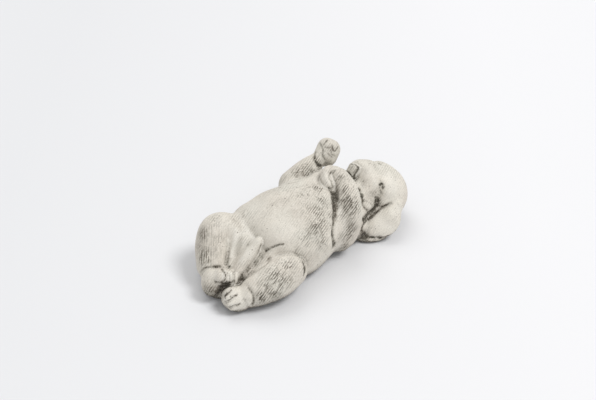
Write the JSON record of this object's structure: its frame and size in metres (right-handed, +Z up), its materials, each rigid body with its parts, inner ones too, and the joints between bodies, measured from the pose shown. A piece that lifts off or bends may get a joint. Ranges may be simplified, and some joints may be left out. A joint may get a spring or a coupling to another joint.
{
  "type": "dog garden statue",
  "caption": "Cast stone puppy lying on its back, belly up, one forepaw raised and its head turned aside, with a flat underside to stand on.",
  "frame": {"origin": "middle of the bounding box's bottom face, on the floor", "axes": "+Z up, +X from the puppy's rump to its head, +Y to the puppy's right side, away from the near side in the picture"},
  "size_m": [0.3442, 0.1716, 0.1215],
  "materials": {
    "cast_stone": "matte cast stone with a dark wash in the recesses"
  },
  "bodies": {
    "root": {"dog_statue": "cast_stone"}
  },
  "joints": []
}
